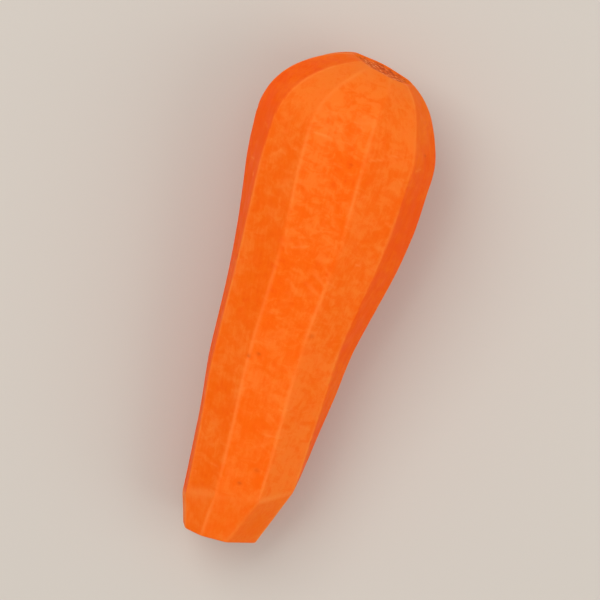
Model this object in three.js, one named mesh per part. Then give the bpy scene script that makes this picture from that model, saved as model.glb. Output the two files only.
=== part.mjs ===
// A peeled carrot, topped and tailed, lying on its side on the surface z = 0.
// Millimetres, +Z up. The leaf end is toward -X and the tip toward +X.
import * as THREE from 'three';
import { LoftGeometry } from 'three/addons/geometries/LoftGeometry.js';

// Length along the root, between the middles of its two cut ends
const LENGTH = 110.3;

// Half width of the root, as [x from the leaf end, half width]
const HALF_WIDTHS = [
  [0, 20.6], [22, 20.9], [30, 20.4], [39.5, 19.3], [51.5, 17.5],
  [62.5, 16.0], [73, 15.2], [82.5, 14.1], [93.5, 13.05], [LENGTH, 11.0],
];

// Sideways wander of the centre line, as [x from the leaf end, y]
const SIDE_OFFSETS = [
  [0, 6.5], [8, 3.4], [22, 2.75], [34, 3.1], [43, 2.9],
  [52, 2.3], [62.5, 1.4], [73, 1.1], [82.5, 1.1], [93.5, 1.0], [LENGTH, 0.1],
];

// The centre line drops evenly toward the slimmer tip, so that the underside lies level
const CROWN_HEIGHT = 22.2;
const TIP_HEIGHT = 11.2;

// The leaf end is a dome with its top sliced off
const DOME_LENGTH = 19.5;
const DOME_SLICE = 1.5;

// The end faces lean back with the centre line, and the leaf end is sliced further back and aslant as well
const LEAN = 0.126;
const CROWN_LEAN = 0.08;
const CROWN_SLANT = 0.21;
const CROWN_REACH = 22;

// A flat facet lies this share of the half width from the centre line, and bare skin a little further
const FACET_SHARE = 0.968;
const SKIN_SHARE = 1.05;

// Width of the rounding along the ridge between two facets
const RIDGE_ROUNDING = 0.5;

// Where the directions of the peel strokes are given, between the two ends
const WAIST = 42;

// Long peel strokes: the way each facet faces, in degrees from straight up toward +Y, at the leaf end,
// the waist and the tip, and how much deeper than the rest it bites at the leaf end and at the tip
const PEEL_STROKES = [
  { facing: [-5, -4, 2.5], bite: [0, 0.15] },
  { facing: [35, 33, 50], bite: [0, 0.1] },
  { facing: [70, 65, 94], bite: [0.2, -0.2] },
  { facing: [108, 104, 133], bite: [0.2, 0.2] },
  { facing: [146, 146, 160], bite: [0.2, -0.5] },
  { facing: [214, 214, 200], bite: [0, -0.5] },
  { facing: [262, 248, 232], bite: [0, 0.1] },
  { facing: [300, 281, 276], bite: [0.3, 0.1] },
  { facing: [319, 317, 318], bite: [0.1, 0.1] },
];

// Short flat cuts round the tip: facing, the x where the cut begins, and its slope from the root's length
const TIP_CUTS = [
  { facing: 4, start: 101.5, slope: 24 },
  { facing: 56, start: 98.5, slope: 30 },
  { facing: 90, start: 96.5, slope: 20 },
  { facing: 128, start: 97, slope: 20 },
  { facing: 168, start: 99, slope: 20 },
  { facing: 222, start: 100, slope: 20 },
  { facing: 276, start: 103, slope: 16 },
  { facing: 318, start: 102.5, slope: 16 },
];

// Points round each section, and the spacing of the sections along the root
const POINTS_ROUND = 108;
const SECTION_SPANS = [
  { from: 0, to: 18, count: 11, crowding: 1.7 },
  { from: 18, to: 84, count: 12, crowding: 1 },
  { from: 84, to: LENGTH, count: 18, crowding: 1 },
];

// A cut facing further off the ray than this never meets it
const GRAZING = 0.05;

// Slope of a list of [x, value] stations at one of them
function stationSlope(stations, i) {
  const rise = (a, b) => (stations[b][1] - stations[a][1]) / (stations[b][0] - stations[a][0]);
  if (i === 0) return rise(0, 1);
  if (i === stations.length - 1) return rise(i - 1, i);
  const before = stations[i][0] - stations[i - 1][0];
  const after = stations[i + 1][0] - stations[i][0];
  return (after * rise(i - 1, i) + before * rise(i, i + 1)) / (before + after);
}

// Smooth curve through a list of [x, value] stations
function smoothThrough(stations, x) {
  const last = stations.length - 2;
  const found = stations.findIndex(([end], i) => i > 0 && x < end) - 1;
  const i = found < 0 ? last : found;
  const [startX, startValue] = stations[i];
  const [endX, endValue] = stations[i + 1];
  const span = endX - startX;
  const f = Math.min((x - startX) / span, 1);
  const startWeight = 2 * f ** 3 - 3 * f ** 2 + 1;
  const startPull = (f ** 3 - 2 * f ** 2 + f) * span * stationSlope(stations, i);
  const endPull = (f ** 3 - f ** 2) * span * stationSlope(stations, i + 1);
  return startWeight * startValue + startPull + (1 - startWeight) * endValue + endPull;
}

// Half width of the root at x, with the leaf end domed
function halfWidth(x) {
  const toDomeEdge = Math.max(1 - (x + DOME_SLICE) / DOME_LENGTH, 0);
  return smoothThrough(HALF_WIDTHS, x) * Math.sqrt(1 - toDomeEdge ** 2);
}

// Point of the centre line at x
function centreAt(x) {
  const height = THREE.MathUtils.lerp(CROWN_HEIGHT, TIP_HEIGHT, x / LENGTH);
  return new THREE.Vector3(x, smoothThrough(SIDE_OFFSETS, x), height);
}

// The way out from the centre line at x, at an angle from straight up toward +Y, within its leaning section
function outwardAt(x, angle) {
  const nearCrown = Math.max(1 - x / CROWN_REACH, 0);
  const lean = LEAN + CROWN_LEAN * nearCrown;
  const slant = CROWN_SLANT * nearCrown;
  const forward = lean * Math.cos(angle) + slant * Math.sin(angle);
  return new THREE.Vector3(forward, Math.sin(angle), Math.cos(angle));
}

// How far a ray runs before it meets a flat cut
function reachToCut(centre, outward, point, normal) {
  const facing = normal.dot(outward);
  if (facing < GRAZING) return Infinity;
  return point.clone().sub(centre).dot(normal) / facing;
}

// Reach to the facet of one long peel stroke
function reachToPeel(centre, outward, { facing, bite }) {
  const x = centre.x;
  const [leafEnd, waist, tip] = facing;
  const direction = smoothThrough([[0, leafEnd], [WAIST, waist], [LENGTH, tip]], x);
  const turn = THREE.MathUtils.degToRad(direction);
  const normal = new THREE.Vector3(0, Math.sin(turn), Math.cos(turn));
  const depth = THREE.MathUtils.lerp(bite[0], bite[1], x / LENGTH);
  const point = centre.clone().addScaledVector(normal, halfWidth(x) * FACET_SHARE - depth);
  return reachToCut(centre, outward, point, normal);
}

// Reach to a short cut, which begins on the facets and slopes in toward the tip
function reachToTipCut(centre, outward, { facing, start, slope }) {
  const turn = THREE.MathUtils.degToRad(facing);
  const tilt = THREE.MathUtils.degToRad(slope);
  const side = new THREE.Vector3(0, Math.sin(turn), Math.cos(turn));
  const point = centreAt(start).addScaledVector(side, halfWidth(start) * FACET_SHARE);
  const normal = side.clone().multiplyScalar(Math.cos(tilt));
  normal.x = Math.sin(tilt);
  return reachToCut(centre, outward, point, normal);
}

// Reach to the surface that the root lies on
function reachToRest(centre, outward) {
  return reachToCut(centre, outward, new THREE.Vector3(0, 0, 0), new THREE.Vector3(0, 0, -1));
}

// The smaller of two reaches, rounded where they are nearly alike
function softMin(a, b) {
  const closeness = Math.max(RIDGE_ROUNDING - Math.abs(a - b), 0) / RIDGE_ROUNDING;
  return Math.min(a, b) - closeness ** 2 * RIDGE_ROUNDING / 4;
}

// Point of the root's surface at x along it and an angle round it
function surfacePoint(x, angle) {
  const centre = centreAt(x);
  const outward = outwardAt(x, angle);
  const reaches = [
    ...PEEL_STROKES.map((stroke) => reachToPeel(centre, outward, stroke)),
    ...TIP_CUTS.map((cut) => reachToTipCut(centre, outward, cut)),
    reachToRest(centre, outward),
  ];
  const reach = reaches.reduce(softMin, halfWidth(x) * SKIN_SHARE);
  return centre.addScaledVector(outward, reach);
}

// The x of every section, closer together where the shape changes fast
function sectionStations() {
  const stations = [];
  for (const { from, to, count, crowding } of SECTION_SPANS) {
    for (let i = 0; i < count; i++) {
      stations.push(from + (to - from) * (i / count) ** crowding);
    }
  }
  stations.push(LENGTH);
  return stations;
}

// Closed ring of points round the root at x
function section(x) {
  const ring = [];
  for (let i = 0; i < POINTS_ROUND; i++) {
    ring.push(surfacePoint(x, -2 * Math.PI * i / POINTS_ROUND));
  }
  return ring;
}

// The whole root as one closed body, centred over the origin
function rootGeometry() {
  const geometry = new LoftGeometry(sectionStations().map(section), { capStart: true, capEnd: true });
  geometry.computeBoundingBox();
  const middle = geometry.boundingBox.getCenter(new THREE.Vector3());
  geometry.translate(-middle.x, -middle.y, 0);
  return geometry;
}

// Moist peeled flesh
function fleshMaterial() {
  return new THREE.MeshStandardMaterial({ color: 0xfa6b16, roughness: 0.42, metalness: 0 });
}

const carrot = new THREE.Mesh(rootGeometry(), fleshMaterial());
carrot.name = 'carrot';

const model = new THREE.Group();
model.add(carrot);

export default model;
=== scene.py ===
import math

import bpy
import numpy as np
from mathutils import Matrix, Vector, noise

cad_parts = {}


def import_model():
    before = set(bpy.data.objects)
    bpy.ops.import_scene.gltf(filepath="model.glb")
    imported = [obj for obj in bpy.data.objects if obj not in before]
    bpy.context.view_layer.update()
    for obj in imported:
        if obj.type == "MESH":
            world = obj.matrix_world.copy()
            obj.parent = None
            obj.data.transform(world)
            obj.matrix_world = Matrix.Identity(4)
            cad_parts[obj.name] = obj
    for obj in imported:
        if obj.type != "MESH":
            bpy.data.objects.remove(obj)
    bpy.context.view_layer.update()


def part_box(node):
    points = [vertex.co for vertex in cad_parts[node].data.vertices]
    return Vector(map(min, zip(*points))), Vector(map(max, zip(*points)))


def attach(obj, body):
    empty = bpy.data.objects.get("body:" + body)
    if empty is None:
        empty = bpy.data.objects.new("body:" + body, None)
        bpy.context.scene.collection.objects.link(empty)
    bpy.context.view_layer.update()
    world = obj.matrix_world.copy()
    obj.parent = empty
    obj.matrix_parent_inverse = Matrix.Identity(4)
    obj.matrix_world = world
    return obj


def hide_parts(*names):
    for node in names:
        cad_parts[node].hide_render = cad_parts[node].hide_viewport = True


MM = 0.001

# Shape of the root, as in its solid: length between the middles of its two cut ends
LENGTH = 110.3

# Half width, and sideways wander of the centre line, as (x from the leaf end, value)
HALF_WIDTHS = [
    (0, 20.6), (22, 20.9), (30, 20.4), (39.5, 19.3), (51.5, 17.5),
    (62.5, 16.0), (73, 15.2), (82.5, 14.1), (93.5, 13.05), (LENGTH, 11.0),
]
SIDE_OFFSETS = [
    (0, 6.5), (8, 3.4), (22, 2.75), (34, 3.1), (43, 2.9),
    (52, 2.3), (62.5, 1.4), (73, 1.1), (82.5, 1.1), (93.5, 1.0), (LENGTH, 0.1),
]

# Height of the centre line at the two ends, the sliced dome of the leaf end, and how the end faces lean
CROWN_HEIGHT = 22.2
TIP_HEIGHT = 11.2
DOME_LENGTH = 19.5
DOME_SLICE = 1.5
LEAN = 0.126
CROWN_LEAN = 0.08
CROWN_SLANT = 0.21
CROWN_REACH = 22

# Facets and the bare skin, as shares of the half width, and how far the rounding of a ridge reaches each way
FACET_SHARE = 0.968
SKIN_SHARE = 1.05
RIDGE_REACH = 0.85

# Where the directions of the peel strokes are given, between the two ends
WAIST = 42

# A cut that faces further off a ray than this never meets it, and a ridge turns by at least as much
GRAZING = 0.05

# Long peel strokes: facing in degrees from straight up toward +Y at the leaf end, the waist and the tip, and
# at the leaf end and the tip how deep it bites and how pale and crinkled its facet is. The facets round the
# sides (facing 70, 108, 262 and 300 at the leaf end) are made less pale, which paints shade on them
PEEL_STROKES = [
    {"facing": (-5, -4, 2.5), "bite": (0, 0.15), "pale": (0.55, 0.6), "crinkled": (1.25, 0.5)},
    {"facing": (35, 33, 50), "bite": (0, 0.1), "pale": (0.5, 1.0), "crinkled": (0.75, 0.85)},
    {"facing": (70, 65, 94), "bite": (0.2, -0.2), "pale": (-0.05, 0.1), "crinkled": (0.4, 0.4)},
    {"facing": (108, 104, 133), "bite": (0.2, 0.2), "pale": (-0.2, 0.0), "crinkled": (0.6, 0.6)},
    {"facing": (146, 146, 160), "bite": (0.2, -0.5), "pale": (0.3, 0.3), "crinkled": (0.5, 0.5)},
    {"facing": (214, 214, 200), "bite": (0, -0.5), "pale": (0.1, 0.3), "crinkled": (0.5, 0.5)},
    {"facing": (262, 248, 232), "bite": (0, 0.1), "pale": (-0.2, 0.0), "crinkled": (0.5, 0.4)},
    {"facing": (300, 281, 276), "bite": (0.3, 0.1), "pale": (-0.3, -0.1), "crinkled": (0.4, 0.4)},
    {"facing": (319, 317, 318), "bite": (0.1, 0.1), "pale": (0.5, 0.55), "crinkled": (0.7, 0.7)},
]

# Short flat cuts round the tip: facing, the x where the cut begins, and its slope from the root's length
TIP_CUTS = [
    {"facing": 4, "start": 101.5, "slope": 24},
    {"facing": 56, "start": 98.5, "slope": 30},
    {"facing": 90, "start": 96.5, "slope": 20},
    {"facing": 128, "start": 97, "slope": 20},
    {"facing": 168, "start": 99, "slope": 20},
    {"facing": 222, "start": 100, "slope": 20},
    {"facing": 276, "start": 103, "slope": 16},
    {"facing": 318, "start": 102.5, "slope": 16},
]
TIP_CUT_FINISH = {"pale": (0.7, 0.7), "crinkled": (0.35, 0.35)}
UNDERSIDE_FINISH = {"pale": (0.3, 0.3), "crinkled": (0.5, 0.5)}
SKIN_FINISH = {"pale": (0, 0), "crinkled": (0.3, 0.3)}

# Grid of the surface: points round, crowded toward the top, and rows along the flank and over each cut face
POINTS_ROUND = 320
TOP_CROWDING = 0.3
SHOULDER_ROWS = 50
SHOULDER_CROWDING = 1.4
SHOULDER_END = 18
FLANK_ROWS = 220
RIM_ROWS = 4
FACE_ROWS = 14

# Rounding of the rims of the cut faces
RIM = 0.3

# Half width of the painted highlight along a ridge, and how much paler the flesh is painted round the leaf
# end, as a painted highlight
RIDGE_HIGHLIGHT_HALF_WIDTH = 0.5
CROWN_PAINTED_HIGHLIGHT = 0.6

# The fine surface is carved in from the solid's outline by at least this much
SKIN_ALLOWANCE = 0.04

# Depths of the relief: slow waves, small ripples and the fine marks, and the share of it left underneath
WAVE_DEPTH = 0.10
RIPPLE_DEPTH = 0.03
MARK_DEPTHS = {"crinkle": 0.035, "scar": 0.08, "pit": 0.2}
RELIEF_UNDERNEATH = 0.15

# Fields of noise, as the size of their features along x, y and z, and where in the noise they lie
WAVES = ((16.0, 9.0, 9.0), 3.0)
RIPPLES = ((3.2, 2.4, 2.4), 17.0)
CRINKLED_PATCHES = ((9.0, 6.0, 1.0), 59.0)
RIDGE_BREAKS = ((13.0, 8.0, 8.0), 131.0)
WIDE_RAYS = ((0.3, 0.3, 1.0), 151.0)
NARROW_RAYS = ((0.1, 0.1, 1.0), 151.0)

# Size of the crinkles along and across the root, and each set's slope and where in the noise it lies
CRINKLE_SIZE = (1.4, 4.5, 1.0)
CRINKLE_SETS = [(0.55, 41.0), (-0.5, 71.0), (0.05, 101.0)]

# Placed marks: how many there are, and the seeds that place them
ROOT_SCARS = 46
ROOT_SCAR_SEED = 11
PITS = 30
PIT_SEED = 12

# Cut faces: the way in, how deep they lie, the size and depth of each grain on them, how far their middle
# is sunk, and over which shares of the way out it rises
GRAIN_OFFSET = 83.0
CUT_FACES = {
    "leaf_face": {
        "inward": 1, "depth": 0.22, "grains": [(0.9, 0.10), (2.4, 0.06)], "sunk": 0.35, "rise": (0.0, 0.9),
    },
    "tip_face": {
        "inward": -1, "depth": 0.06, "grains": [(1.6, 0.03)], "sunk": 0.07, "rise": (0.44, 0.56),
    },
}

# Flesh in light: the share of it that light sinks into, how far red, green and blue go in as shares of the
# scale in millimetres, and its gloss
SUBSURFACE_SHARE = 0.5
SUBSURFACE_REACH = (1.0, 0.2, 0.06)
SUBSURFACE_SCALE = 3.5
FLESH_SPECULAR = 0.06

# Roughness of the flesh where it is moist and where it is drier, and how much rougher the dry marks are
MOIST_ROUGHNESS = 0.5
DRIER_ROUGHNESS = 0.68
DRY_MARK_ROUGHNESS = 0.25

# Heights of the finest relief, which is left to the material: grain all over and fibres along the root
GRAIN_HEIGHT = 0.03
FIBRE_HEIGHT = 0.05

# Lights: the way to each from the root, toward the picture's right, its top and the camera, and its watts,
# with their distance and size in metres
LIGHTS = {
    "key": {"toward": (-0.35, 0.4, 0.85), "watts": 2.0},
    "fill": {"toward": (0.7, -0.3, 0.65), "watts": 1.2},
}
LIGHT_DISTANCE = 0.75
LIGHT_SIZE = 0.5
SKY_STRENGTH = 0.71

# Pale warm matt floor, with its size in metres
FLOOR_SIZE = 6
FLOOR_COLOUR = (0.61, 0.56, 0.50, 1)
FLOOR_ROUGHNESS = 0.9
FLOOR_SPECULAR = 0.1

# The camera looks straight down, with the leaf end up and leaning right as in the photograph. Its lens and
# sensor are in millimetres, and the width of the picture at the root is in metres
LEAN_IN_PICTURE = math.radians(15.9)
CAMERA_LENS = 200
CAMERA_SENSOR = 36
FRAME_SPAN = 0.134


def smooth_through(stations, x):
    """Smooth curve through a list of (x, value) stations."""
    xs, values = np.array(stations, dtype=float).T
    slopes = np.gradient(values, xs)
    i = np.clip(np.searchsorted(xs, x, side="right") - 1, 0, len(xs) - 2)
    span = xs[i + 1] - xs[i]
    f = np.clip((x - xs[i]) / span, 0, 1)
    start_weight = 2 * f**3 - 3 * f**2 + 1
    start_pull = (f**3 - 2 * f**2 + f) * span * slopes[i]
    end_pull = (f**3 - f**2) * span * slopes[i + 1]
    return start_weight * values[i] + start_pull + (1 - start_weight) * values[i + 1] + end_pull


def half_width(x):
    """Half width of the root at x, with the leaf end domed."""
    to_dome_edge = np.maximum(1 - (x + DOME_SLICE) / DOME_LENGTH, 0)
    return smooth_through(HALF_WIDTHS, x) * np.sqrt(1 - to_dome_edge**2)


def centre_at(x):
    """Points of the centre line at x, as an array whose last axis is x, y, z."""
    x = np.asarray(x, dtype=float)
    height = CROWN_HEIGHT + (TIP_HEIGHT - CROWN_HEIGHT) * x / LENGTH
    return np.stack([x, smooth_through(SIDE_OFFSETS, x), height], axis=-1)


def outward_at(x, angle):
    """The way out from the centre line at x, at an angle from straight up toward +Y."""
    near_crown = np.maximum(1 - x / CROWN_REACH, 0)
    lean = LEAN + CROWN_LEAN * near_crown
    slant = CROWN_SLANT * near_crown
    return np.stack([lean * np.cos(angle) + slant * np.sin(angle), np.sin(angle), np.cos(angle)], axis=-1)


def side_normal(degrees):
    """Unit vectors across the root, facing the given way round it."""
    turn = np.radians(np.asarray(degrees, dtype=float))
    return np.stack([np.zeros_like(turn), np.sin(turn), np.cos(turn)], axis=-1)


def reach_to_cut(centre, outward, point, normal):
    """How far each ray runs before it meets a flat cut."""
    facing = (normal * outward).sum(axis=-1)
    distance = ((point - centre) * normal).sum(axis=-1)
    reach = distance / np.maximum(facing, GRAZING)
    return np.where(facing < GRAZING, LENGTH, reach)


def peel_cut(centre, outward, stroke):
    """Reach to the facet of one long peel stroke, and the way the facet faces."""
    x = centre[..., 0]
    leaf_end, waist, tip = stroke["facing"]
    normal = side_normal(smooth_through([(0, leaf_end), (WAIST, waist), (LENGTH, tip)], x))
    bite_start, bite_end = stroke["bite"]
    depth = bite_start + (bite_end - bite_start) * x / LENGTH
    point = centre + normal * (half_width(x) * FACET_SHARE - depth)[..., None]
    return reach_to_cut(centre, outward, point, normal), normal


def tip_cut(centre, outward, cut):
    """Reach to a short cut that begins on the facets and slopes in toward the tip, and the way it faces."""
    tilt = math.radians(cut["slope"])
    side = side_normal(cut["facing"])
    point = centre_at(cut["start"]) + side * half_width(cut["start"]) * FACET_SHARE
    normal = side * math.cos(tilt) + np.array([math.sin(tilt), 0, 0])
    return reach_to_cut(centre, outward, point, normal), normal


def underside_cut(centre, outward):
    """Reach to the surface that the root lies on, and the way that flat spot faces."""
    normal = np.array([0.0, 0.0, -1.0])
    return reach_to_cut(centre, outward, np.zeros(3), normal), normal


def bare_skin(centre, outward):
    """Reach to the skin that no stroke took off, and the way it faces."""
    normal = outward / np.linalg.norm(outward, axis=-1, keepdims=True)
    return half_width(centre[..., 0]) * SKIN_SHARE, normal


def shaped_flank(centre, outward):
    """Reach of the root's surface, how far each point is from its nearest ridge, and its facet's paleness
    and crinkling, where lower paleness on the side facets paints shade.
    """
    met = [(*peel_cut(centre, outward, stroke), stroke) for stroke in PEEL_STROKES]
    met += [(*tip_cut(centre, outward, cut), TIP_CUT_FINISH) for cut in TIP_CUTS]
    met.append((*underside_cut(centre, outward), UNDERSIDE_FINISH))
    met.append((*bare_skin(centre, outward), SKIN_FINISH))

    reaches = np.stack([reach for reach, _, _ in met])
    normals = np.stack([np.broadcast_to(normal, outward.shape) for _, normal, _ in met])
    nearest = np.argsort(reaches, axis=0)[:2]
    reach, next_reach = np.take_along_axis(reaches, nearest, axis=0)
    normal, next_normal = np.take_along_axis(normals, nearest[..., None], axis=0)
    turn = np.maximum(np.linalg.norm(np.cross(normal, next_normal), axis=-1), GRAZING)
    from_ridge = (next_reach - reach) * (next_normal * outward).sum(axis=-1) / turn
    rounding = np.maximum(1 - from_ridge / RIDGE_REACH, 0) ** 2 * RIDGE_REACH * turn / 4
    finish = {}
    for name in ("pale", "crinkled"):
        at_start, at_end = np.array([cut_finish[name] for _, _, cut_finish in met]).T[:, nearest[0]]
        finish[name] = at_start + (at_end - at_start) * centre[..., 0] / LENGTH
    return reach - rounding, from_ridge, finish


def flank_stations():
    """The x of every row along the flank, close together over the rims and the shoulder."""
    rim = RIM * (1 - np.cos(np.linspace(0, math.pi / 2, RIM_ROWS, endpoint=False)))
    crowded = np.linspace(0, 1, SHOULDER_ROWS, endpoint=False) ** SHOULDER_CROWDING
    shoulder = RIM + (SHOULDER_END - RIM) * crowded
    flank = np.linspace(SHOULDER_END, LENGTH - RIM, FLANK_ROWS, endpoint=False)
    return np.concatenate([rim, shoulder, flank, LENGTH - rim[::-1]])


def angles_round():
    """Angles of the points round a section, from the underside round to it again."""
    turn = np.linspace(-math.pi, math.pi, POINTS_ROUND, endpoint=False)
    return turn - TOP_CROWDING * np.sin(turn)


def rim_inset(x):
    """How far the rounded rims draw the surface in at x."""
    from_end = np.minimum(x, LENGTH - x)
    up_rim = np.clip(1 - from_end / RIM, 0, 1)
    return RIM * (1 - np.sqrt(1 - up_rim**2))


def noise_field(points, feature, offset):
    """Smooth noise from about -1 to 1 at each point, with features of the given size along x, y and z."""
    scaled = points.reshape(-1, 3) / np.array(feature) + offset
    values = [noise.noise(Vector(p)) for p in scaled]
    return np.array(values).reshape(points.shape[:-1])


def smooth_step(low, high, value):
    """0 below low, 1 above high, with a smooth rise between."""
    f = np.clip((value - low) / (high - low), 0, 1)
    return f * f * (3 - 2 * f)


def crinkles(x, across, crinkled):
    """Short soft strokes that fan out across the root, thick where its facet is crinkled, 0 to 1."""
    flat = np.zeros_like(x)
    strokes = flat
    for slope, offset in CRINKLE_SETS:
        place = np.stack([x + slope * across, across, flat], axis=-1)
        field = noise_field(place, CRINKLE_SIZE, offset)
        strokes = np.maximum(strokes, smooth_step(0.1, 0.8, field))
    patches = noise_field(np.stack([x, across, flat], axis=-1), *CRINKLED_PATCHES)
    where = smooth_step(0.3 - 0.5 * crinkled, 0.9 - 0.5 * crinkled, patches)
    return where * strokes


def root_scars(x, angle, reach):
    """Thin pale lines and specks across the root where side roots grew, 0 to 1."""
    rng = np.random.default_rng(ROOT_SCAR_SEED)
    lines = np.zeros_like(x)
    for _ in range(ROOT_SCARS):
        at = rng.uniform(10, 100)
        facing = rng.uniform(-math.pi, math.pi)
        half_length = rng.uniform(0.4, 2.6)
        thickness = rng.uniform(0.2, 0.32)
        strength = rng.uniform(0.3, 0.9)
        bend = rng.uniform(-0.35, 0.35)
        across = np.angle(np.exp(1j * (angle - facing))) * reach
        along = x - at - bend * across
        line = np.exp(-(along / thickness) ** 2) * (1 - smooth_step(0.5, 1.0, np.abs(across) / half_length))
        lines = np.maximum(lines, line * strength)
    return lines


def pits(x, angle, reach):
    """Small pits, 0 to 1."""
    rng = np.random.default_rng(PIT_SEED)
    depth = np.zeros_like(x)
    for _ in range(PITS):
        at = rng.uniform(6, 106)
        facing = rng.uniform(-math.pi, math.pi)
        radius = rng.uniform(0.25, 0.5)
        strength = rng.uniform(0.3, 0.9)
        across = np.angle(np.exp(1j * (angle - facing))) * reach
        near = ((x - at) / radius) ** 2 + (across / (radius * 1.5)) ** 2
        depth = np.maximum(depth, strength * np.exp(-near))
    return depth


def carved_depth(plain, marks):
    """How deep the relief is carved into the plain surface, shallow where the root lies on the floor."""
    relief = WAVE_DEPTH * (noise_field(plain, *WAVES) + 1)
    relief += RIPPLE_DEPTH * (noise_field(plain, *RIPPLES) + 1)
    for name, depth in MARK_DEPTHS.items():
        relief += depth * marks[name]
    off_floor = smooth_step(0.3, 1.5, plain[..., 2])
    return SKIN_ALLOWANCE + relief * (RELIEF_UNDERNEATH + (1 - RELIEF_UNDERNEATH) * off_floor)


def flank_surface():
    """Points of the flank with its fine relief, as a grid of rows by points round, and what colours it."""
    x, angle = np.meshgrid(flank_stations(), angles_round(), indexing="ij")
    centre = centre_at(x)
    outward = outward_at(x, angle)
    reach, from_ridge, finish = shaped_flank(centre, outward)
    plain = centre + outward * reach[..., None]
    marks = {
        "crinkle": crinkles(x, angle * reach, finish["crinkled"]),
        "scar": root_scars(x, angle, reach),
        "pit": pits(x, angle, reach),
    }
    points = centre + outward * (reach - carved_depth(plain, marks) - rim_inset(x))[..., None]
    points[..., 2] = np.maximum(points[..., 2], 0)

    unbroken = smooth_step(-0.7, 0.3, noise_field(plain, *RIDGE_BREAKS))
    near_crown = np.maximum(1 - x / CROWN_REACH, 0)
    none = np.zeros_like(x)
    colouring = {
        **marks,
        # Paleness of the facet: lower on the side facets as painted shade, with a painted highlight round
        # the leaf end
        "pale": finish["pale"] + CROWN_PAINTED_HIGHLIGHT * near_crown,
        "mottled": finish["crinkled"],
        # Pale line along each ridge, broken in places: a painted highlight
        "ridge": np.exp(-(from_ridge / RIDGE_HIGHLIGHT_HALF_WIDTH) ** 2) * unbroken,
        "leaf_face": none,
        "tip_face": none,
        "from_middle": np.ones_like(x),
        "ray": none,
    }
    return points, colouring


def face_rays():
    """Streaks that run out from the middle of a cut face, one value for each point round it, 0 to 1."""
    angle = angles_round()
    place = np.stack([np.cos(angle), np.sin(angle), np.zeros_like(angle)], axis=-1)
    return smooth_step(-0.6, 0.6, noise_field(place, *WIDE_RAYS) + 0.4 * noise_field(place, *NARROW_RAYS))


def face_depth(rows, share, face):
    """Depth of a cut face at each point: rough all over, sunk in the middle and level at the rim."""
    depth = face["depth"] + face["sunk"] * (1 - smooth_step(*face["rise"], share))
    for size, grain_depth in face["grains"]:
        depth += grain_depth * noise_field(rows, (size, size, size), GRAIN_OFFSET)
    return depth * (1 - smooth_step(0.85, 1.0, share))


def face_rows(rim_ring, kind):
    """Rows of a cut face from its middle out to the rim ring, with its relief, and what colours it."""
    middle = rim_ring.mean(axis=0)
    shares = np.linspace(0, 1, FACE_ROWS + 1)[1:-1]
    rows = middle + (rim_ring - middle) * shares[:, None, None]
    share, ray = np.meshgrid(shares, face_rays(), indexing="ij")
    face = CUT_FACES[kind]
    rows[..., 0] += face["inward"] * face_depth(rows, share, face)
    return rows, {kind: np.ones_like(share), "from_middle": share, "ray": ray}


def whole_surface():
    """All rows of the root from the middle of its leaf-end face to the middle of its tip face."""
    flank, flank_colours = flank_surface()
    leaf, leaf_colours = face_rows(flank[0], "leaf_face")
    tip, tip_colours = face_rows(flank[-1], "tip_face")
    rows = np.concatenate([leaf, flank, tip[::-1]])
    none = np.zeros(leaf.shape[:-1])
    colours = {}
    for name, flank_values in flank_colours.items():
        leaf_values = leaf_colours.get(name, none)
        tip_values = tip_colours.get(name, none)
        colours[name] = np.concatenate([leaf_values, flank_values, tip_values[::-1]])
    return rows, colours


def grid_faces(row_count):
    """Faces of the rows, closed round, with a fan over each end about an added middle point."""
    index = np.arange(row_count * POINTS_ROUND).reshape(row_count, POINTS_ROUND)
    ahead = np.roll(index, -1, axis=1)
    quads = np.stack([index[:-1], index[1:], ahead[1:], ahead[:-1]], axis=-1).reshape(-1, 4)
    first_middle = row_count * POINTS_ROUND
    last_middle = first_middle + 1
    fans = [(first_middle, a, b) for a, b in zip(index[0], ahead[0])]
    fans += [(last_middle, b, a) for a, b in zip(index[-1], ahead[-1])]
    return quads.tolist() + [tuple(int(i) for i in fan) for fan in fans]


def placed_points(rows):
    """Every point of the rows and the two middle points, in metres, where the solid lies."""
    points = MM * np.concatenate([rows.reshape(-1, 3), rows[:1].mean(axis=1), rows[-1:].mean(axis=1)])
    low, high = (np.array(corner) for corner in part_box("carrot"))
    middle = (points.min(axis=0) + points.max(axis=0)) / 2
    points[:, :2] += ((low + high) / 2 - middle)[:2]
    points[:, 2] += low[2]
    return points


def store_on_mesh(mesh, name, values):
    """Keeps one value for every point on the mesh, for the material to read."""
    middles = [0.0, 0.0] if name == "from_middle" else [values[0].mean(), values[-1].mean()]
    attribute = mesh.attributes.new(name, "FLOAT", "POINT")
    attribute.data.foreach_set("value", np.concatenate([values.ravel(), middles]).astype(np.float32))


def make_root(material):
    """The root as one mesh, where its solid lies."""
    rows, colours = whole_surface()
    mesh = bpy.data.meshes.new("carrot_root")
    mesh.from_pydata(placed_points(rows).tolist(), [], grid_faces(len(rows)))
    for name, values in colours.items():
        store_on_mesh(mesh, name, values)
    mesh.polygons.foreach_set("use_smooth", [True] * len(mesh.polygons))
    mesh.materials.append(material)
    mesh.update()
    root = bpy.data.objects.new("carrot_root", mesh)
    bpy.context.scene.collection.objects.link(root)
    return root


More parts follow.
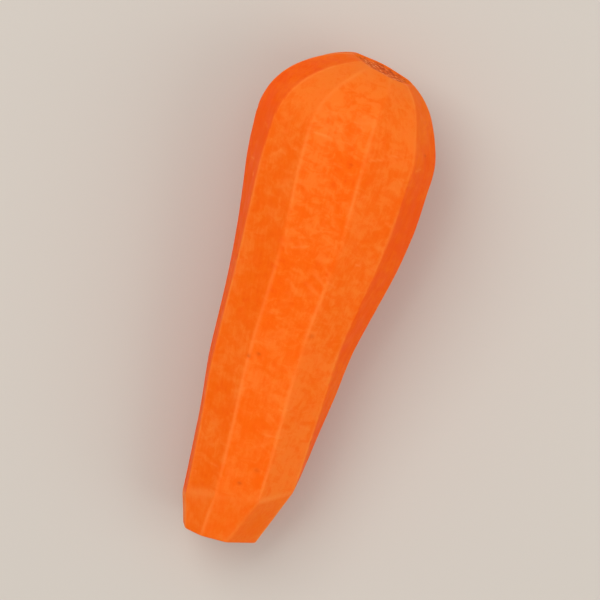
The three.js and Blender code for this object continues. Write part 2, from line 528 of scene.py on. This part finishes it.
class Nodes:
    """Adds nodes to one material's tree and links them."""

    def __init__(self, material):
        material.use_nodes = True
        self.tree = material.node_tree
        self.shader = self.tree.nodes["Principled BSDF"]

    def add(self, kind, settings=None, **inputs):
        """A node with its settings and inputs, where an input is a value or another node's output."""
        node = self.tree.nodes.new(kind)
        for name, value in (settings or {}).items():
            setattr(node, name, value)
        for name, value in inputs.items():
            self.set(node.inputs[name], value)
        return node

    def set(self, socket, value):
        """Gives a socket a value or a link."""
        if isinstance(value, bpy.types.NodeSocket):
            self.tree.links.new(value, socket)
        else:
            socket.default_value = value

    def attribute(self, name):
        """A value stored on the mesh."""
        return self.add("ShaderNodeAttribute", {"attribute_name": name}).outputs["Fac"]

    def math(self, operation, a, b=0.0):
        """One arithmetic step."""
        node = self.add("ShaderNodeMath", {"operation": operation})
        self.set(node.inputs[0], a)
        self.set(node.inputs[1], b)
        return node.outputs[0]

    def remap(self, value, low, high, to_low=0.0, to_high=1.0):
        """A smooth rise from to_low to to_high as the value goes from low to high."""
        node = self.add("ShaderNodeMapRange", {"interpolation_type": "SMOOTHSTEP"})
        for socket, number in zip(("Value", "From Min", "From Max", "To Min", "To Max"),
                                  (value, low, high, to_low, to_high)):
            self.set(node.inputs[socket], number)
        return node.outputs["Result"]

    def mix(self, factor, a, b):
        """A mix of two colours, from a at 0 to b at 1."""
        node = self.add("ShaderNodeMix", {"data_type": "RGBA"})
        self.set(node.inputs["Factor"], factor)
        self.set(node.inputs["A"], a)
        self.set(node.inputs["B"], b)
        return node.outputs["Result"]

    def noise(self, feature_mm, detail=2.0, roughness=0.5, offset=0.0, distortion=0.0):
        """Noise over the object, 0 to 1, with features of the given sizes along x, y and z."""
        place = self.add("ShaderNodeTexCoord").outputs["Object"]
        scale = [1 / (size * MM) for size in feature_mm]
        mapping = self.add("ShaderNodeMapping", Vector=place, Scale=scale, Location=[offset] * 3)
        texture = self.add("ShaderNodeTexNoise", Vector=mapping.outputs["Vector"], Scale=1.0,
                           Detail=detail, Roughness=roughness, Distortion=distortion)
        return texture.outputs["Fac"]


def rgb(red, green, blue):
    """A colour from 0 to 255 display values, as the linear colour that a shader takes."""
    shares = [value / 255 for value in (red, green, blue)]
    linear = [s / 12.92 if s <= 0.04045 else ((s + 0.055) / 1.055) ** 2.4 for s in shares]
    return (*linear, 1.0)


# Colours of the flesh and of the two cut faces, as a screen shows them
# The deepest flesh colour, which also paints shade on the side facets
DEEP_FLESH_AND_SHADE = rgb(244, 83, 0)
FLESH = rgb(248, 101, 2)
# The palest flesh colour, which also paints the highlight round the leaf end
PALE_FLESH_AND_HIGHLIGHT = rgb(250, 119, 34)
# Colour of the dry marks, which also paints the highlight along the ridges
DRY_FLESH_AND_HIGHLIGHT = rgb(255, 142, 62)
PIT_FLESH = rgb(196, 62, 4)
CORE_FLESH = rgb(252, 146, 52)
CORE_RING = rgb(255, 184, 110)
LEAF_SCAR = rgb(230, 90, 24)
LEAF_SCAR_DARK = rgb(196, 66, 16)
LEAF_SCAR_PALE = rgb(249, 154, 92)

# Marks on the flank, and the painted highlight along the ridges: how strongly each tints the flesh, and
# toward which colour
MARK_TINTS = {
    "crinkle": (0.34, DRY_FLESH_AND_HIGHLIGHT),
    # Painted highlight along the ridges
    "ridge": (0.42, DRY_FLESH_AND_HIGHLIGHT),
    "scar": (0.65, DRY_FLESH_AND_HIGHLIGHT),
    "pit": (0.6, PIT_FLESH),
}


def flesh_colour(nodes):
    """Colour of the peeled flank, with painted shade on the side facets and painted highlights along the
    ridges and round the leaf end.
    """
    broad = nodes.noise((20, 12, 12), detail=3)
    fibres = nodes.noise((26, 0.7, 0.7), detail=3, roughness=0.6, offset=5)
    mottle = nodes.noise((2.2, 3.2, 3.2), detail=5, roughness=0.7, offset=9, distortion=0.6)
    # The paleness carries the painted shade of the side facets and the painted highlight round the leaf end
    tone = nodes.math("ADD", nodes.attribute("pale"), nodes.remap(broad, 0.3, 0.7, -0.17, 0.17))
    tone = nodes.math("ADD", tone, nodes.remap(fibres, 0.3, 0.7, -0.12, 0.12))
    speckle = nodes.remap(mottle, 0.35, 0.68, -0.28, 0.42)
    tone = nodes.math("ADD", tone, nodes.math("MULTIPLY", speckle, nodes.attribute("mottled")))
    # Low tone, as on the side facets, paints shade with the deep colour; high tone, as round the leaf end,
    # paints highlight with the pale colour
    colour = nodes.mix(nodes.remap(tone, -0.2, 0.45), DEEP_FLESH_AND_SHADE, FLESH)
    colour = nodes.mix(nodes.remap(tone, 0.35, 1.1), colour, PALE_FLESH_AND_HIGHLIGHT)
    for name, (strength, tint) in MARK_TINTS.items():
        colour = nodes.mix(nodes.math("MULTIPLY", nodes.attribute(name), strength), colour, tint)
    return colour


def tip_face_colour(nodes):
    """Colour of the tip's cut face: paler core, a thin ring round it, and flesh with rays outside."""
    from_middle = nodes.attribute("from_middle")
    ray = nodes.attribute("ray")
    past_ring = nodes.math("SUBTRACT", from_middle, nodes.remap(ray, 0.0, 1.0, 0.49, 0.54))
    ring = nodes.remap(nodes.math("ABSOLUTE", past_ring), 0.0, 0.07, 1.0, 0.0)
    colour = nodes.mix(nodes.remap(past_ring, -0.03, 0.03), CORE_FLESH, FLESH)
    colour = nodes.mix(nodes.math("MULTIPLY", ray, 0.45), colour, PALE_FLESH_AND_HIGHLIGHT)
    colour = nodes.mix(nodes.math("MULTIPLY", ring, 0.7), colour, CORE_RING)
    return nodes.mix(nodes.remap(from_middle, 0.86, 1.0, 0.0, 0.6), colour, DRY_FLESH_AND_HIGHLIGHT)


def leaf_face_colour(nodes):
    """Colour of the leaf end's cut face: a dry brownish scar, speckled and fibrous."""
    from_middle = nodes.attribute("from_middle")
    speckle = nodes.noise((1.2, 1.2, 1.2), detail=4, roughness=0.6, offset=31)
    fibrous = nodes.math("ADD", speckle, nodes.remap(nodes.attribute("ray"), 0.0, 1.0, -0.04, 0.04))
    colour = nodes.mix(nodes.remap(fibrous, 0.36, 0.5), LEAF_SCAR_DARK, LEAF_SCAR)
    colour = nodes.mix(nodes.remap(fibrous, 0.52, 0.66), colour, LEAF_SCAR_PALE)
    ragged = nodes.math("ADD", from_middle, nodes.remap(speckle, 0.3, 0.7, -0.12, 0.12))
    return nodes.mix(nodes.remap(ragged, 0.7, 0.95), colour, FLESH)


def fine_relief(nodes):
    """Way the flesh faces, with its finest relief: fibres along the root over a grain."""
    grain = nodes.noise((0.5, 0.5, 0.5), detail=3, roughness=0.6, offset=2)
    fibres = nodes.noise((16, 0.5, 0.5), detail=2, offset=7)
    grainy = nodes.add("ShaderNodeBump", Height=grain, Strength=0.5, Distance=GRAIN_HEIGHT * MM)
    fibrous = nodes.add("ShaderNodeBump", Height=fibres, Strength=0.5, Distance=FIBRE_HEIGHT * MM,
                        Normal=grainy.outputs["Normal"])
    return fibrous.outputs["Normal"]


def flesh_material():
    """Moist carrot flesh, with its two cut faces."""
    material = bpy.data.materials.new("carrot_flesh")
    nodes = Nodes(material)
    colour = nodes.mix(nodes.attribute("tip_face"), flesh_colour(nodes), tip_face_colour(nodes))
    colour = nodes.mix(nodes.attribute("leaf_face"), colour, leaf_face_colour(nodes))
    shader = nodes.shader
    nodes.set(shader.inputs["Base Color"], colour)

    moisture = nodes.noise((5, 3, 3), detail=3, offset=13)
    roughness = nodes.remap(moisture, 0.3, 0.7, MOIST_ROUGHNESS, DRIER_ROUGHNESS)
    dryness = nodes.math("MAXIMUM", nodes.attribute("leaf_face"), nodes.attribute("crinkle"))
    roughness = nodes.math("ADD", roughness, nodes.math("MULTIPLY", dryness, DRY_MARK_ROUGHNESS))
    nodes.set(shader.inputs["Roughness"], roughness)
    nodes.set(shader.inputs["Subsurface Weight"], SUBSURFACE_SHARE)
    nodes.set(shader.inputs["Subsurface Radius"], SUBSURFACE_REACH)
    nodes.set(shader.inputs["Subsurface Scale"], SUBSURFACE_SCALE * MM)
    nodes.set(shader.inputs["Specular IOR Level"], FLESH_SPECULAR)
    nodes.set(shader.inputs["Normal"], fine_relief(nodes))
    return material


def floor_material():
    """Matt pale surface."""
    material = bpy.data.materials.new("floor_paint")
    nodes = Nodes(material)
    nodes.set(nodes.shader.inputs["Base Color"], FLOOR_COLOUR)
    nodes.set(nodes.shader.inputs["Roughness"], FLOOR_ROUGHNESS)
    nodes.set(nodes.shader.inputs["Specular IOR Level"], FLOOR_SPECULAR)
    return material


def make_floor():
    """Wide plain floor just under the root."""
    bpy.ops.mesh.primitive_plane_add(size=FLOOR_SIZE, location=(0, 0, 0))
    floor = bpy.context.object
    floor.name = "floor"
    floor.data.materials.append(floor_material())


def make_area_light(name, target, way, watts):
    """Soft square light that lies the given way from a point and shines at it."""
    data = bpy.data.lights.new(name, "AREA")
    data.shape = "SQUARE"
    data.size = LIGHT_SIZE
    data.energy = watts
    light = bpy.data.objects.new(name, data)
    light.location = target + LIGHT_DISTANCE * way
    light.rotation_euler = (-way).to_track_quat("-Z", "Y").to_euler()
    bpy.context.scene.collection.objects.link(light)


def picture_axes():
    """The directions in the frame that run right and up in the picture, and toward the camera."""
    right = Vector((-math.sin(LEAN_IN_PICTURE), math.cos(LEAN_IN_PICTURE), 0))
    up = Vector((-math.cos(LEAN_IN_PICTURE), -math.sin(LEAN_IN_PICTURE), 0))
    return right, up, right.cross(up)


def light_the_scene(target):
    """Soft key from above the leaf end, a weaker fill from the right, and an even sky."""
    picture = picture_axes()
    for name, light in LIGHTS.items():
        way = sum((share * axis for share, axis in zip(light["toward"], picture)), Vector()).normalized()
        make_area_light(name, target, way, light["watts"])
    world = bpy.data.worlds.new("sky")
    bpy.context.scene.world = world
    world.use_nodes = True
    background = world.node_tree.nodes["Background"]
    background.inputs["Color"].default_value = (1, 1, 1, 1)
    background.inputs["Strength"].default_value = SKY_STRENGTH


def make_camera(target):
    """Camera straight above the root, framing it a little closer than the photograph does."""
    axes = picture_axes()
    data = bpy.data.cameras.new("camera")
    data.lens = CAMERA_LENS
    data.sensor_width = CAMERA_SENSOR
    camera = bpy.data.objects.new("camera", data)
    distance = FRAME_SPAN * CAMERA_LENS / CAMERA_SENSOR
    turned = Matrix(axes).transposed().to_4x4()
    camera.matrix_world = Matrix.Translation(target + distance * axes[-1]) @ turned
    bpy.context.scene.collection.objects.link(camera)
    bpy.context.scene.camera = camera


def main():
    """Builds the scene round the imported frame."""
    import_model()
    root = make_root(flesh_material())
    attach(root, "root")
    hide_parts("carrot")
    make_floor()
    low, high = (Vector(corner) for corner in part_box("carrot"))
    target = (low + high) / 2
    light_the_scene(target)
    make_camera(target)
    bpy.context.scene.view_settings.view_transform = "Standard"


main()
